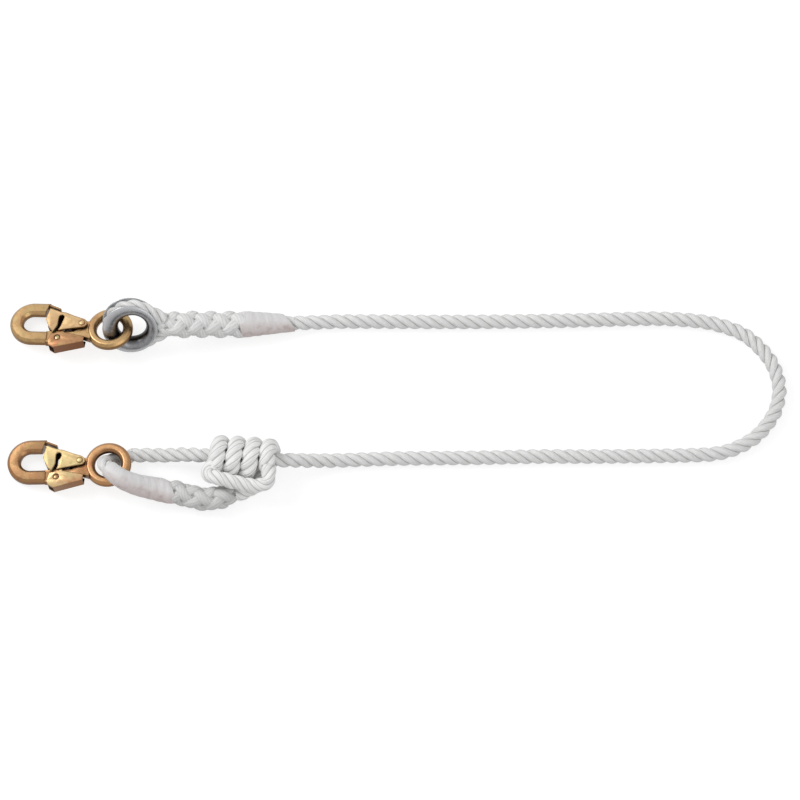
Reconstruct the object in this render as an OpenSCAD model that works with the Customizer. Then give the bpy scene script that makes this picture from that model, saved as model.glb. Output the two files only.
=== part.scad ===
// Adjustable rope lanyard: one three-strand rope with a locking snap hook at each end.
// Units are millimetres. The lanyard lies on the plane z = 0 with +Z up, the hooks at -X and
// the bend at +X.
// The upper end is a spliced eye round a thimble. The lower end is held by a sliding knot,
// which slips and so takes up shock.

/* [Rope] */
// Diameter of the three-strand rope
rope_d = 16; // [14:0.5:17]
// Clearance between pieces of rope that lie together
rope_gap = 0.5; // [0.5:0.1:1]
// Diameter of the eye splice, where tucks thicken the rope
splice_d = 31; // [28:0.5:31.5]
// Diameter of the splice behind the knot
knot_splice_d = 28; // [24:0.5:28]

/* [Sleeves] */
// Wall of the white sleeves over the splice tapers
sleeve_wall = 1; // [0.6:0.1:1.6]
// Clearance between a sleeve and the rope in it
sleeve_gap = 0.15; // [0.1:0.05:0.4]

/* [Knot] */
// Helical turns of the sliding knot, without its last hitch
knot_turns = 3; // [2:1:3]
// Distance from turn to turn along the rope
knot_pitch = 18.6; // [18:0.1:20]
// Height of the rope inside the knot above the ground
knot_z = 25; // [24.7:0.1:28]

/* [Thimble] */
// Radius of the rope's centre line round the thimble, which is a full ring
crown_r = 25.5; // [25:0.1:25.7]
// Distance from the thimble's centre to the throat of the eye
throat_x = 36; // [36:1:42]
// Wall of the thimble
thimble_wall = 1.5; // [1:0.1:1.8]
// Clearance between the thimble's groove and the rope
thimble_gap = 0.15; // [0.1:0.05:0.4]
// Height of the thimble's flanges above the rope's centre line, on the hook's side
flange_h = 8; // [5:0.5:8]
// The same height on the side of the throat
flange_low = 3; // [2:0.5:4]
// Tilt of the eye about its own length
eye_roll = 58; // [57:0.5:60]

/* [Hook body] */
// Inner diameter of the hook's eye
eye_id = 30; // [30:0.5:32]
// Diameter of the round bar of the eye
eye_bar = 11; // [9:0.5:11]
// Width of the bar round the bowl
bar_w = 15; // [12:0.5:16]
// Thickness of the bar round the bowl
bar_t = 11; // [10:0.5:12]
// Bevel along the bar's edges
bar_bevel = 3; // [1:0.5:4]
// Radius of the bowl, half the throat
bowl_r = 11; // [10:0.2:12]
// Distance from the eye's centre to the bowl's centre
hook_len = 88; // [86:1:95]
// Height of the bowl's centre above the eye's centre line
bowl_rise = 4.8; // [3:0.2:6]
// Thickness of the shank between the lock's cheeks
shank_t = 9; // [8:0.5:10]
// Thickness of the tongue that stops the gate at the nose
tongue_t = 2; // [1.5:0.1:3]

/* [Gate and lock] */
// Thickness of the folded gate and lock sheet
sheet_t = 1.8; // [1.2:0.1:2]
// Running gap between the shank, the lock's cheeks and the gate's cheeks
cheek_gap = 0.3; // [0.2:0.05:0.5]
// Diameter of the gate's hinge pin
gate_pin_d = 5; // [4:0.1:5.5]
// Diameter of the lock's rivet
rivet_d = 4; // [3:0.1:4.5]
// Diameter of the heads of pin and rivet beyond their shafts
head_step = 2.4; // [2:0.1:3]
// Thickness of the heads of pin and rivet
head_t = 0.9; // [0.6:0.1:1.1]
// Radial running clearance of a cheek on its pin
pin_play = 0.05; // [0.02:0.01:0.1]
// Radial clearance of a pin in the shank
pin_seat = 0.01; // [0.01:0.01:0.03]

/* [Springs] */
// Wire of the gate's spring and the lock's spring
wire_d = 0.9; // [0.7:0.05:1]
// Outer diameter of both springs
spring_d = 5; // [4.5:0.1:5.4]
// Turns of the gate's spring
gate_curls = 7; // [5:1:9]
// Turns of the lock's spring
lock_curls = 4; // [3:1:5]
// Clearance round a spring in its pocket
pocket_gap = 0.6; // [0.4:0.1:0.9]

/* [Hidden] */
$fn = 64;

// From the layout's own zero to the middle of the hooks, splices and knot, which is the part's origin
origin_shift = [275, 25.7, 0];
// Where the hooks lie: centre of the eye, then roll, nose-down pitch and turn on the ground in degrees
upper_hook = [[-321.5, 62.8, 25.2], [-8, 9, -5.5]];
lower_hook = [[-322.7, -101.3, 21.5], [0, 8.2, -2.3]];
// Where the centre of the thimble lies
eye_centre = upper_hook[0] + [25, 2.2, 6.55];

// Rope colours, metal colours
rope_colour = [0.93, 0.93, 0.92];
sleeve_colour = [0.88, 0.85, 0.85];
steel_colour = [0.62, 0.63, 0.66];
gold_colour = [0.78, 0.62, 0.38];

// Sides of a free rope, of a winding and of a spring's wire
rope_sides = 10;
form_sides = 6;
loop_rings = 24;
curl_rings = 8;
rope_r = rope_d / 2;

// Points of the free rope, from the upper sleeve round the bend to the knot
main_route = [[-115, 78, 9], [-85, 79.5, 8.2], [-52, 80.5, 8], [70, 80, 8], [160, 81, 8], [227, 82.5, 8],
  [285, 84, 8], [328, 82, 8], [358, 77, 8], [388, 65, 8], [409, 45.5, 8], [422, 25, 8], [428, 2.5, 8],
  [427, -16, 8], [421, -35, 8], [405, -57.5, 8], [385, -72, 8], [362, -80.5, 8], [328, -83.5, 8],
  [227, -85, 8], [160, -85, 8], [93, -86.5, 8], [3, -87.5, 8], [-64, -90, 8.5], [-92, -92.8, 14],
  [-116, -95.7, 21.5], [-137, -97, 25]];
// Points of the standing part, from the knot's right end to the hook's eye
standing_route = [[-137, -97, 25], [-175, -94.3, 25], [-213, -91.5, 25], [-236, -87.8, 20],
  [-259, -85.2, 12], [-280, -83.4, 8.4], [-296, -83.7, 8]];
// Points of the bight through the eye and back over its rim, as far as the splice
bight_route = [[-296, -83.7, 8], [-307, -87, 8.4], [-318, -92, 11.5], [-325.5, -98, 21],
  [-326.5, -105.5, 32.5], [-321, -115, 40], [-311.5, -123.5, 40.5], [-300, -127.8, 35], [-285, -129, 26],
  [-270, -129.2, 19], [-257, -130.5, 15.3], [-245.7, -131.9, 14.5]];
// Steps from point to point of the bight, and the point of it where the sleeve starts
bight_steps = 3;
sleeve_start = 4;
// Points of the splice after the bight, and how fast it draws in at the knot
draw_in = 5;
splice_route = [[-245.7, -131.9, 14.5], [-233, -136, 14.5], [-220, -139.2, 14.4], [-207, -139.4, 14.3],
  [-194, -136.6, 14], [-182, -132.4, 10]];
// Points of the spliced eye's own splice and of its sleeve
eye_sleeve_route = [[-178, 73, 16.8], [-146, 75.7, 12.8], [-115, 78, 9]];
eye_splice_route = [eye_centre + [throat_x, 0, 0], [-232, 69.3, 25], [-205, 71.8, 19.4],
  eye_sleeve_route[0]];

// Knot: the rope inside it is its axis, which leans across the ground. An angle of 0 is up, 90 is towards -Y
// and 180 is down.
knot_middle = [-175, -94.3];
knot_lean = -0.073;
wrap_r = rope_d + rope_gap;
band_r = wrap_r + rope_d + 2 * rope_gap;
first_turn_x = -153.5;
hitch_x = -145;
loop_x = first_turn_x - knot_pitch * (knot_turns - 1 / 3);
knot_lead = [[-182, -132.4, 10], [-173, -129.7, 8.6], [-164, -125, 8.2], [-154, -114.5, 8.2]];

// Hook outlines in the hook's own plane: the eye's centre is the origin, the nose points to -X
eye_r = (eye_id + eye_bar) / 2;
shank_top = bowl_rise - bowl_r;
shank_bottom = shank_top - bar_w;
limb_bottom = bowl_rise + bowl_r;
limb_top = limb_bottom + bar_w;
lock_inner = shank_t / 2 + cheek_gap;
lock_outer = lock_inner + sheet_t;
gate_inner = lock_outer + cheek_gap;
gate_outer = gate_inner + sheet_t;
gate_pivot = [-31, 3];
rivet_at = [-hook_len + 30.6, (shank_top + shank_bottom) / 2 - 2];
web_front = [-69.4, limb_bottom + 5.4];
web_back = [-40, 11.6];
web_points = [web_front, [-57.3, limb_bottom + 1.1], [-50.4, limb_bottom], web_back];
lock_front = [-60.5, shank_bottom - 8];
lock_rear = [-27.4, shank_bottom + 0.8];
// Ends of the straight bars, the nose's slant, and how far the shank lies inside the bar
bar_end = -70;
nose_cut = -75.6;
nose_slant = 5.4;
shank_step = 0.3;
lug_wall = 3.2;
tongue_top = limb_top - 2.4;
tongue_end = limb_top - 7.2;
tongue_outline = [[-74, limb_top - 1.6], [bar_end, tongue_top], [-58, tongue_end],
  [-58.6, tongue_end - tongue_t], [-70.4, tongue_top - tongue_t], [-74, limb_top - 2 - tongue_t]];
shank_outline = [[bar_end - 1, shank_bottom + shank_step], [-50, shank_bottom + shank_step],
  [-30, shank_top - 6], [-eye_r, shank_top - 9], [-eye_r, shank_top + 14], [-31, shank_top + 13],
  [-36, shank_top + 4], [-40, shank_top - shank_step], [bar_end - 1, shank_top - shank_step]];
gate_outline = concat(web_points, [[-28.4, 7.8], [-25.4, 5], [-25, 1], [-28, -2.2], [-51.5, shank_top],
  [-63.2, shank_top - 3.2], [-67.6, shank_top + 1.7], [-72.8, shank_top + 12.7]]);
// Keyhole slot of the gate: its round top, then the slot down to the lower edge
keyhole_at = [-55, 9.5];
keyhole_d = 6.4;
keyhole_slot = [[-58.2, 9.6], [-51.8, 9.6], [-54.4, -1], [-59, -12], [-64, -12], [-58.8, -1]];
// Height of the lock's two prongs over the shank
prong_h = 3.2;
lock_outline = [[-65.4, shank_top - 4.9], [-68.3, shank_top - 14.5], [-66.4, shank_bottom - 4.4],
  lock_front, lock_rear, [-26.9, shank_top - 7.4], [-50.5, shank_top - 2.4],
  [-51.5, shank_top + prong_h], [-55.5, shank_top + prong_h], [-57.5, shank_top - 2.9]];
// Play of the rivet's head in its counterbore, across and in depth
head_play = 0.2;
// Gap between a spring and the floor of its pocket
spring_seat = 0.1;
gate_spring_x = -46;
lock_spring_x = -36.5;
gate_spring_foot = shank_top - 5;
lock_spring_foot = shank_top - 3.4;
gate_spring_top = web_back[1] - sheet_t + 1;
lock_spring_low = lock_rear[1] + spring_seat;

function unit(v) = v / norm(v);

// One point of a smooth curve through b and c, with a and d as the points before and after
function between(a, b, c, d, t) =
  0.5 * (2 * b + (c - a) * t + (2 * a - 5 * b + 4 * c - d) * t * t + (3 * b - a - 3 * c + d) * t * t * t);

// A smooth curve through the points p, with k steps from point to point
function smooth(p, k) = let (n = len(p) - 1) concat(
  [for (i = [0:n - 1], j = [0:k - 1])
    between(p[max(i - 1, 0)], p[i], p[i + 1], p[min(i + 2, n)], j / k)],
  [p[n]]);

// Directions of the curve p at its points, with the given ones at its two ends
function tangents(p, first, last) = let (n = len(p) - 1) concat([first],
  [for (i = [1:n - 1]) unit(unit(p[i + 1] - p[i]) + unit(p[i] - p[i - 1]))], [last]);
// Direction in which the route a runs on into the route b, where they meet
function joined(a, b) = unit(b[1] - a[len(a) - 2]);
function part_of(v, from, to) = [for (i = [from:to]) v[i]];

// A side direction for each tangent, carried along the curve without twist
function sides_of(t) = [
  for (i = 0, s = unit(cross(t[0], abs(t[0][2]) > 0.8 ? [1, 0, 0] : [0, 0, 1])); i < len(t);
    i = i + 1, s = i < len(t) ? unit(s - (s * t[i]) * t[i]) : s) s];

// Points of a tube of the radii r along the curve p with the directions t, ring after ring
function tube_points(p, t, r, sides) = let (s = sides_of(t))
  [for (i = [0:len(p) - 1], j = [0:sides - 1]) let (a = 360 * j / sides)
    p[i] + r[i] * (cos(a) * s[i] + sin(a) * cross(t[i], s[i]))];

// Triangles of the walls between rings, then of a cap at each end
function wall_faces(rings, sides, first, flip) =
  [for (i = [0:rings - 2], j = [0:sides - 1], h = [0, 1])
    let (a = first + i * sides + j, b = first + i * sides + (j + 1) % sides, c = a + sides, d = b + sides,
      f = h == 0 ? [a, c, b] : [b, c, d])
    flip ? [f[0], f[2], f[1]] : f];
function cap_faces(rings, sides) = let (e = (rings - 1) * sides) concat(
  [for (j = [1:sides - 2]) [0, j, j + 1]],
  [for (j = [1:sides - 2]) [e, e + j + 1, e + j]]);
function rim_faces(rings, sides) = let (m = rings * sides, e = (rings - 1) * sides) concat(
  [for (j = [0:sides - 1], h = [0, 1]) let (k = (j + 1) % sides)
    h == 0 ? [j, k, m + j] : [k, m + k, m + j]],
  [for (j = [0:sides - 1], h = [0, 1]) let (k = (j + 1) % sides)
    h == 0 ? [e + j, m + e + j, e + k] : [e + k, m + e + j, m + e + k]]);

// A solid rope along the curve p
module tube(p, t, r, sides) {
  faces = concat(wall_faces(len(p), sides, 0, false), cap_faces(len(p), sides));
  polyhedron(tube_points(p, t, r, sides), faces);
}

// A hollow sleeve along the curve p
module hollow_tube(p, t, r, bore, sides) {
  points = concat(tube_points(p, t, r, sides), tube_points(p, t, bore, sides));
  polyhedron(points, concat(wall_faces(len(p), sides, 0, false),
    wall_faces(len(p), sides, len(p) * sides, true), rim_faces(len(p), sides)));
}

// The same radius, or a steady taper, for each point of the curve p
function even(p, r) = [for (q = p) r];
// Radius of a many-sided bore that clears a round of radius r
function clear_of(r, sides) = r / cos(180 / sides);
function taper(p, a, b) = [for (i = [0:len(p) - 1]) a + (b - a) * i / (len(p) - 1)];

// Winding of the sliding knot: lead, helical turns, left loop, band along the front, last hitch
function round_axis(x, a, r) =
  [x, knot_middle[1] + knot_lean * (x - knot_middle[0]) - r * sin(a), knot_z + r * cos(a)];
knot_helix = [for (i = [0:loop_rings * (knot_turns - 1 / 3)]) let (a = 180 + 360 * i / loop_rings)
  round_axis(first_turn_x - knot_pitch * i / loop_rings, a, wrap_r)];
knot_band = [round_axis(loop_x - 4, 67, wrap_r + 2.5), round_axis(loop_x - 7.5, 71, wrap_r + 8.5),
  round_axis(loop_x - 5, 71, wrap_r + 14), round_axis(loop_x + 2.5, 69, band_r),
  round_axis(loop_x + 14, 73, band_r + 1), round_axis(loop_x + 27, 79, band_r + 1),
  round_axis(loop_x + 41, 84, band_r + 1), round_axis(hitch_x - 4, 82, band_r - 1),
  round_axis(hitch_x + 2, 70, band_r - 7)];
// The hitch goes over the top and draws away from the turns at the back, by a millimetre in so many degrees
hitch_draw = 21;
knot_hitch = [for (a = [45:-15:-120]) round_axis(hitch_x + max(0, -a) / hitch_draw, a, wrap_r)];
// The lead and the band run smoothly into the turns that they meet
knot_steps = 4;
helix_last = len(knot_helix) - 1;
hitch_last = len(knot_hitch) - 1;
lead_curve = smooth(concat(knot_lead, part_of(knot_helix, 0, 1)), knot_steps);
band_curve = smooth(concat(part_of(knot_helix, helix_last - 1, helix_last), knot_band,
  part_of(knot_hitch, 0, 1)), knot_steps);
knot_curve = concat(part_of(lead_curve, 0, len(lead_curve) - knot_steps - 2), knot_helix,
  part_of(band_curve, knot_steps + 1, len(band_curve) - knot_steps - 2), knot_hitch);

// Least gap of the winding to itself, between points that are more than two diameters apart along it
knot_run = [for (i = 0, s = 0; i < len(knot_curve);
  i = i + 1, s = s + (i < len(knot_curve) ? norm(knot_curve[i] - knot_curve[i - 1]) : 0)) s];
knot_least = min([for (i = [0:len(knot_curve) - 1], j = [i + 1:1:len(knot_curve) - 1])
  if (knot_run[j] - knot_run[i] > 2.2 * rope_d) norm(knot_curve[i] - knot_curve[j]) - rope_d]);
echo(knot_winding_least_gap = knot_least);

// The rope eye: from one throat point, round the crown, to the other throat point
throat = [throat_x, rope_r + rope_gap / 2];
crown_start = atan2(throat[1], throat[0]) + acos(crown_r / norm(throat));
function crown_at(a) = [crown_r * cos(a), crown_r * sin(a), 0];
crown_steps = 20;
crown_arc = [for (i = [0:crown_steps]) crown_at(crown_start + (360 - 2 * crown_start) * i / crown_steps)];
eye_curve = concat([[throat[0], throat[1], 0]], crown_arc, [[throat[0], -throat[1], 0]]);

// Curves of the pieces of rope, and the directions in which one runs on into the next
along = [1, 0, 0];
splice_out = joined(eye_sleeve_route, main_route);
knot_in = joined(main_route, standing_route);
eye_in = joined(standing_route, bight_route);
sleeve_out = joined(bight_route, splice_route);
lead_in = joined(splice_route, knot_lead);
main_curve = smooth(main_route, 2);
standing_curve = smooth(standing_route, 3);
bight_curve = smooth(bight_route, bight_steps);
bight_ways = tangents(bight_curve, eye_in, sleeve_out);
splice_curve = smooth(splice_route, 4);
eye_splice_curve = smooth(concat(eye_splice_route, part_of(eye_sleeve_route, 1, 2)), 4);
eye_splice_ways = tangents(eye_splice_curve, along, splice_out);
eye_sleeve_first = 4 * (len(eye_splice_route) - 1);

module main_rope() {
  color(rope_colour)
    tube(main_curve, tangents(main_curve, splice_out, knot_in), even(main_curve, rope_r), rope_sides);
}

module eye_rope() {
  color(rope_colour) translate(eye_centre) rotate([eye_roll, 0, 0])
    tube(eye_curve, tangents(eye_curve, -along, along), even(eye_curve, rope_r), rope_sides);
}

// Groove section of the thimble: a half round floor, with flanges up beside the rope
groove_step = 30;
groove_r = (rope_r + thimble_gap) / cos(groove_step / 2);
shell_r = groove_r + thimble_wall;
function groove_section(h) = concat([[h, shell_r]],
  [for (a = [0:groove_step:180]) shell_r * [-sin(a), cos(a)]],
  [[h, -shell_r], [h, -groove_r]],
  [for (a = [180:-groove_step:0]) groove_r * [-sin(a), cos(a)]],
  [[h, groove_r]]);

// The rims of the flanges lie on a round that is set off from the thimble's own centre
module thimble() {
  rim_r = crown_r + (flange_h + flange_low) / 2;
  color(steel_colour) translate(eye_centre) rotate([eye_roll, 0, 0]) intersection() {
    rotate_extrude() translate([crown_r, 0]) polygon(groove_section(flange_h + thimble_wall));
    translate([(flange_low - flange_h) / 2, 0, -2 * shell_r]) cylinder(r = rim_r, h = 4 * shell_r);
  }
}

// Radius of the upper splice where it goes into its sleeve, and along its length
sleeve_core = splice_d / 2 - sleeve_wall - sleeve_gap;
eye_splice_last = len(eye_splice_curve) - 1;
eye_splice_radii = [for (i = [0:eye_splice_last]) i < eye_sleeve_first ? splice_d / 2 :
  sleeve_core + (rope_r - sleeve_core) * (i - eye_sleeve_first) / (eye_splice_last - eye_sleeve_first)];

module eye_splice() {
  color(rope_colour) tube(eye_splice_curve, eye_splice_ways, eye_splice_radii, rope_sides);
}

module eye_splice_sleeve() {
  p = part_of(eye_splice_curve, eye_sleeve_first, eye_splice_last);
  t = part_of(eye_splice_ways, eye_sleeve_first, eye_splice_last);
  core = part_of(eye_splice_radii, eye_sleeve_first, eye_splice_last);
  bore = [for (r = core) clear_of(r + sleeve_gap, rope_sides)];
  color(sleeve_colour) hollow_tube(p, t, [for (r = bore) r + sleeve_wall], bore, rope_sides);
}

module standing_rope() {
  color(rope_colour)
    tube(standing_curve, tangents(standing_curve, knot_in, eye_in), even(standing_curve, rope_r), rope_sides);
}

module eye_bight() {
  color(rope_colour) tube(bight_curve, bight_ways, even(bight_curve, rope_r), rope_sides);
}

module adjuster_sleeve() {
  first = bight_steps * sleeve_start;
  last = len(bight_curve) - 1;
  p = part_of(bight_curve, first, last);
  bore = clear_of(rope_r + sleeve_gap, rope_sides);
  color(sleeve_colour) hollow_tube(p, part_of(bight_ways, first, last),
    taper(p, bore + 2 * sleeve_wall, knot_splice_d / 2), even(p, bore), rope_sides);
}

// The splice is as thick as its tucks, and draws in to the bare rope at the knot
module adjuster_splice() {
  n = len(splice_curve) - 1;
  radii = [for (i = [0:n]) rope_r + (knot_splice_d / 2 - rope_r) * min(1, draw_in * (1 - i / n))];
  color(rope_colour) tube(splice_curve, tangents(splice_curve, sleeve_out, lead_in), radii, rope_sides);
}

module knot_winding() {
  last = len(knot_curve) - 1;
  ways = tangents(knot_curve, lead_in, unit(knot_curve[last] - knot_curve[last - 1]));
  color(rope_colour) tube(knot_curve, ways, even(knot_curve, rope_r), form_sides);
}

// Section of a bar with bevelled edges, width along X and thickness along Y
module bar_section(w, t, bevel) {
  x = w / 2;
  y = t / 2;
  polygon([[-x + bevel, -y], [x - bevel, -y], [x, -y + bevel], [x, y - bevel],
    [x - bevel, y], [-x + bevel, y], [-x, y - bevel], [-x, -y + bevel]]);
}

// A plate in the hook's plane, between two heights on both sides of the middle
module cheeks(inner, outer) {
  for (side = [0, 1])
    mirror([0, 0, side]) translate([0, 0, inner]) linear_extrude(outer - inner) children();
}

// A hole through the hook at p
module drill(p, d, from, to) {
  translate([p[0], p[1], from]) cylinder(d = d, h = to - from);
}

// Round pocket for a spring, along the hook's Y
module pocket(x, low, high) {
  translate([x, low, 0]) rotate([-90, 0, 0]) cylinder(d = spring_d + 2 * pocket_gap, h = high - low);
}

// The bar's straight stretch behind the bowl, centred on the height y
module straight_bar(y) {
  translate([-hook_len, y, 0]) rotate([90, 0, 90]) linear_extrude(bar_end + hook_len)
    bar_section(bar_w, bar_t, bar_bevel);
}

module hook_body() {
  lug_r = gate_pin_d / 2 + lug_wall;
  color(gold_colour) difference() {
    union() {
      rotate_extrude() translate([eye_r, 0]) circle(d = eye_bar);
      translate([-hook_len, bowl_rise, 0]) rotate([0, 0, 90]) rotate_extrude(angle = 180)
        translate([bowl_r + bar_w / 2, 0]) bar_section(bar_w, bar_t, bar_bevel);
      // Bar from the bowl to the shank
      straight_bar((shank_top + shank_bottom) / 2);
      // Nose, cut at a slant
      difference() {
        straight_bar((limb_bottom + limb_top) / 2);
        translate([nose_cut, limb_bottom - 1, -bar_t]) linear_extrude(2 * bar_t)
          polygon([[0, 0], [bar_w, 0], [bar_w, bar_w + 2], [nose_slant, bar_w + 2]]);
      }
      // Tongue over the gate
      linear_extrude(shank_t, center = true) polygon(tongue_outline);
      // Shank, neck and the lug of the hinge pin
      linear_extrude(shank_t, center = true) polygon(shank_outline);
      translate([gate_pivot[0], gate_pivot[1], 0]) cylinder(r = lug_r, h = shank_t, center = true);
    }
    drill(gate_pivot, gate_pin_d + 2 * pin_seat, -bar_t, bar_t);
    drill(rivet_at, rivet_d + 2 * pin_seat, -bar_t, bar_t);
    pocket(gate_spring_x, gate_spring_foot, limb_bottom);
    pocket(lock_spring_x, shank_bottom - bar_w, lock_spring_foot);
  }
}

// A strip of sheet that follows the points p, on their lower side
module folded_web(p, w) {
  n = len(p) - 1;
  down = [for (i = [0:n]) let (d = unit(p[min(i + 1, n)] - p[max(i - 1, 0)])) p[i] + sheet_t * [d[1], -d[0]]];
  linear_extrude(2 * w, center = true) polygon(concat(p, [for (i = [n:-1:0]) down[i]]));
}

module gate() {
  through = 2 * bar_t;
  color(gold_colour) difference() {
    union() {
      cheeks(gate_inner, gate_outer) polygon(gate_outline);
      folded_web(web_points, gate_outer);
    }
    drill(gate_pivot, gate_pin_d + 2 * pin_play, -through, through);
    drill(keyhole_at, keyhole_d, -through, through);
    linear_extrude(2 * through, center = true) polygon(keyhole_slot);
  }
}

module lock_lever() {
  color(gold_colour) difference() {
    union() {
      cheeks(lock_inner, lock_outer) polygon(lock_outline);
      folded_web([lock_rear, lock_front], lock_outer);
    }
    drill(rivet_at, rivet_d + 2 * pin_play, -2 * bar_t, 2 * bar_t);
    for (side = [0, 1])
      mirror([0, 0, side])
        drill(rivet_at, rivet_d + head_step + 2 * head_play, lock_outer - head_t - head_play, 2 * bar_t);
  }
}

// A pin along the hook's Z with a head at each end
module headed_pin(p, d, end) {
  drill(p, d, -end, end);
  for (side = [0, 1])
    mirror([0, 0, side]) drill(p, d + head_step, end - head_t, end);
}

module gate_pin() {
  color(gold_colour) headed_pin(gate_pivot, gate_pin_d, gate_outer + cheek_gap / 2 + head_t);
}

module lock_rivet() {
  color(gold_colour) headed_pin(rivet_at, rivet_d, lock_outer - head_play / 2);
}

// A compression spring along the hook's Y
module coil_spring(x, low, high, curls) {
  r = (spring_d - wire_d) / 2;
  n = curls * curl_rings;
  p = [for (i = [0:n]) let (a = 360 * i / curl_rings)
    [x + r * cos(a), low + wire_d / 2 + (high - low - wire_d) * i / n, r * sin(a)]];
  ways = tangents(p, unit(p[1] - p[0]), unit(p[n] - p[n - 1]));
  color(steel_colour) tube(p, ways, even(p, wire_d / 2), form_sides);
}

module gate_spring() {
  coil_spring(gate_spring_x, gate_spring_foot + spring_seat, gate_spring_top, gate_curls);
}

module lock_spring() {
  coil_spring(lock_spring_x, lock_spring_low, lock_spring_foot - spring_seat, lock_curls);
}

// Lays a piece of rope, or a hook's piece, where it lies in the part's own frame
module laid() {
  translate(origin_shift) children();
}
module at_hook(h) {
  laid() translate(h[0]) rotate([h[1][0], -h[1][1], h[1][2]]) children();
}

laid() main_rope();
laid() eye_rope();
laid() thimble();
laid() eye_splice();
laid() eye_splice_sleeve();
laid() standing_rope();
laid() eye_bight();
laid() knot_winding();
laid() adjuster_splice();
laid() adjuster_sleeve();
at_hook(upper_hook) hook_body();  // upper_hook_body
at_hook(upper_hook) gate();  // upper_gate
at_hook(upper_hook) lock_lever();  // upper_lock_lever
at_hook(upper_hook) gate_pin();  // upper_gate_pin
at_hook(upper_hook) lock_rivet();  // upper_lock_rivet
at_hook(upper_hook) gate_spring();  // upper_gate_spring
at_hook(upper_hook) lock_spring();  // upper_lock_spring
at_hook(lower_hook) hook_body();  // lower_hook_body
at_hook(lower_hook) gate();  // lower_gate
at_hook(lower_hook) lock_lever();  // lower_lock_lever
at_hook(lower_hook) gate_pin();  // lower_gate_pin
at_hook(lower_hook) lock_rivet();  // lower_lock_rivet
at_hook(lower_hook) gate_spring();  // lower_gate_spring
at_hook(lower_hook) lock_spring();  // lower_lock_spring
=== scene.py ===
import math

import bmesh
import bpy
import numpy as np
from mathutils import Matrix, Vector


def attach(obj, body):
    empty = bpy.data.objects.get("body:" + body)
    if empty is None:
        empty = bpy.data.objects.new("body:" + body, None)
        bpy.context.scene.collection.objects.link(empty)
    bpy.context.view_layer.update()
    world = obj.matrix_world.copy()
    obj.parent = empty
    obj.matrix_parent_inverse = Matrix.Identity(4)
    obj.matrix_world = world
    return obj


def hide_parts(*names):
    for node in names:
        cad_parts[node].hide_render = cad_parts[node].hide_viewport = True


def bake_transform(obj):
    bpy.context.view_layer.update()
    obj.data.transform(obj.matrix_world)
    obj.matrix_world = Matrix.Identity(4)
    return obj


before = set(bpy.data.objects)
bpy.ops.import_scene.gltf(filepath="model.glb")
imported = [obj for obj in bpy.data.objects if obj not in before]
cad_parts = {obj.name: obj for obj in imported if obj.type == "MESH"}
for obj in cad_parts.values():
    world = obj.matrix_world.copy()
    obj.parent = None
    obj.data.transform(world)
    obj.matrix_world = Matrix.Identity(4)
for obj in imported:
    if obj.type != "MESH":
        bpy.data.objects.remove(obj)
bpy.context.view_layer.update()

MM = 0.001
# From the layout's own zero to the part's origin, in millimetres
ORIGIN_SHIFT = np.array([275.0, 25.7, 0.0])
# Hooks: centre of the eye in the layout, then roll, nose-down pitch and turn on the ground in degrees
HOOKS = {"upper": ((-321.5, 62.8, 25.2), (-8.0, 9.0, -5.5)),
         "lower": ((-322.7, -101.3, 21.5), (0.0, 8.2, -2.3))}
# Centre of the eye in the rope, on which the upper hook hangs
EYE_CENTRE = np.array(HOOKS["upper"][0]) + (25.0, 2.2, 6.55)

# Camera: from high above the front of the laid-out lanyard, far away with a long lens
VIEW_MIDDLE = np.array([0.2784, 0.0134, 0.0])
VIEW_WIDTH = 0.896
VIEW_ELEVATION = math.radians(66)
LENS = 1000.0
SENSOR = 36.0


def in_scene(name, data):
    """A new object of the scene, made of the data."""
    made = bpy.data.objects.new(name, data)
    bpy.context.scene.collection.objects.link(made)
    return made


def photo_camera():
    """A camera on the photograph's line of sight, at the distance where its frame is VIEW_WIDTH wide."""
    data = bpy.data.cameras.new("photo_camera")
    data.lens, data.sensor_width = LENS, SENSOR
    away = VIEW_WIDTH * LENS / SENSOR
    camera = in_scene("photo_camera", data)
    camera.location = VIEW_MIDDLE + away * np.array([0, -math.cos(VIEW_ELEVATION), math.sin(VIEW_ELEVATION)])
    camera.rotation_euler = (math.pi / 2 - VIEW_ELEVATION, 0, 0)
    data.clip_end = 4 * away
    bpy.context.scene.camera = camera


photo_camera()

# Radius of the rope, length of one twist and radius of a strand, in millimetres
ROPE_R = 8.0
LAY = 41.0
STRAND_R = 4.35
# Points across a strand, whole and parted into yarns, and the distance between rings along the rope
STRAND_POINTS = 16
FINE_POINTS = 28
RING = 1.2
# Half width of the furrow in a parted strand, as an angle round the rope, and its share of painted shade
FURROW = 0.11
FURROW_SHADE = 0.9
# The rope's pattern counts in tenths of a metre: a millimetre of it, a yarn's width and a yarn's slope
PATTERN = 10 * MM
YARN_WIDTH = 0.032
YARN_SLOPE = 0.35

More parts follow.
